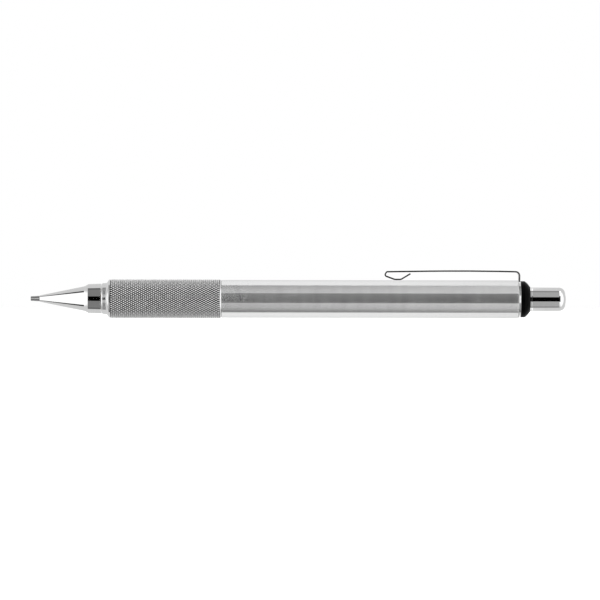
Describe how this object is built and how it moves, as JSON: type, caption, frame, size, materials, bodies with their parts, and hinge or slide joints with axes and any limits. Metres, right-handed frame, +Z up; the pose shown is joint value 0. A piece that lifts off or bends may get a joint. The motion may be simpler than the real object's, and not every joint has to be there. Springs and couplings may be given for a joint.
{
  "type": "mechanical pencil",
  "caption": "Slim metal mechanical pencil with a conical tip, knurled grip, smooth round barrel, spring pocket clip, black end collar and domed push button.",
  "frame": {"origin": "centre of the bounding box's bottom face: under the pencil's axis, half way along it, on the surface that the grip rests on", "axes": "+X along the pencil from the tip to the push button, +Z up through the clip, +Y across"},
  "size_m": [0.137, 0.0098, 0.0124],
  "materials": {
    "barrel_steel": "satin stainless steel with fine lathe marks round the barrel",
    "grip_steel": "fine diamond knurl, satin",
    "polished_steel": "polished bright",
    "clip_steel": "polished spring steel strip",
    "spring_steel": "drawn wire",
    "brass": "turned",
    "collar_plastic": "black, semi-gloss",
    "connector_plastic": "black, moulded",
    "tube_plastic": "frosted, translucent",
    "retainer_rubber": "matt",
    "graphite": "dull grey-black polymer graphite",
    "ferrule_aluminium": "satin",
    "eraser_vinyl": "white, matt"
  },
  "bodies": {
    "barrel_assembly": {"barrel": "barrel_steel", "barrel_bush": "brass", "clip_ring": "clip_steel", "collar": "collar_plastic"},
    "clip_spring": {"clip_arm": "clip_steel"},
    "front_section": {"grip": "grip_steel", "inner_sleeve": "brass", "return_spring": "spring_steel"},
    "tip_section": {"tip_cone": "polished_steel", "lead_sleeve": "polished_steel", "lead_retainer": "retainer_rubber"},
    "plunger": {"chuck_body": "brass", "chuck_connector": "connector_plastic", "lead_tube": "tube_plastic", "spare_lead_1": "graphite", "spare_lead_2": "graphite", "spare_lead_3": "graphite"},
    "clutch_ring": {"chuck_ring": "brass"},
    "fed_lead": {"lead": "graphite"},
    "jaw_top": {"chuck_jaw_1": "brass"},
    "jaw_left": {"chuck_jaw_2": "brass"},
    "jaw_right": {"chuck_jaw_3": "brass"},
    "button": {"button_cap": "polished_steel"},
    "eraser_unit": {"eraser": "eraser_vinyl", "eraser_ferrule": "ferrule_aluminium"}
  },
  "joints": [
    {"name": "front_unscrew", "type": "slide", "parent": "barrel_assembly", "child": "front_section", "axis": [-1, 0, 0], "range_m": [0, 0.095]},
    {"name": "tip_unscrew", "type": "slide", "parent": "front_section", "child": "tip_section", "axis": [-1, 0, 0], "range_m": [0, 0.02]},
    {"name": "button_push", "type": "slide", "parent": "front_section", "child": "plunger", "axis": [-1, 0, 0], "range_m": [0, 0.003], "stiffness_N_per_m": 400, "springref_m": -0.001, "deforming": ["return_spring"]},
    {"name": "ring_travel", "type": "slide", "parent": "front_section", "child": "clutch_ring", "axis": [-1, 0, 0], "range_m": [0, 0.0009]},
    {"name": "lead_feed", "type": "slide", "parent": "front_section", "child": "fed_lead", "axis": [-1, 0, 0], "range_m": [0, 0.0009]},
    {"name": "jaw_top_open", "type": "hinge", "parent": "plunger", "child": "jaw_top", "pos_m": [-0.04448, 0, 0.00493], "axis": [0, 1, 0], "range_deg": [0, 1.8]},
    {"name": "jaw_left_open", "type": "hinge", "parent": "plunger", "child": "jaw_left", "pos_m": [-0.04448, 0, 0.00493], "axis": [0, -0.5, 0.866], "range_deg": [0, 1.8]},
    {"name": "jaw_right_open", "type": "hinge", "parent": "plunger", "child": "jaw_right", "pos_m": [-0.04448, 0, 0.00493], "axis": [0, -0.5, -0.866], "range_deg": [0, 1.8]},
    {"name": "cap_pull", "type": "slide", "parent": "plunger", "child": "button", "axis": [1, 0, 0], "range_m": [0, 0.02]},
    {"name": "eraser_pull", "type": "slide", "parent": "plunger", "child": "eraser_unit", "axis": [1, 0, 0], "range_m": [0, 0.01]},
    {"name": "clip_flex", "type": "hinge", "parent": "barrel_assembly", "child": "clip_spring", "pos_m": [0.05572, 0, 0.01221], "axis": [0, 1, 0], "range_deg": [0, 4], "stiffness_Nm_per_rad": 0.8}
  ],
  "couplings": [
    {"joint": "ring_travel", "follows": "button_push", "ratio": 0.3},
    {"joint": "lead_feed", "follows": "button_push", "ratio": 0.3},
    {"joint": "jaw_top_open", "follows": "button_push", "rad_per_m": 10.47},
    {"joint": "jaw_left_open", "follows": "button_push", "rad_per_m": 10.47},
    {"joint": "jaw_right_open", "follows": "button_push", "rad_per_m": 10.47},
    {"joint": "eraser_pull", "follows": "cap_pull", "ratio": 0.5}
  ]
}
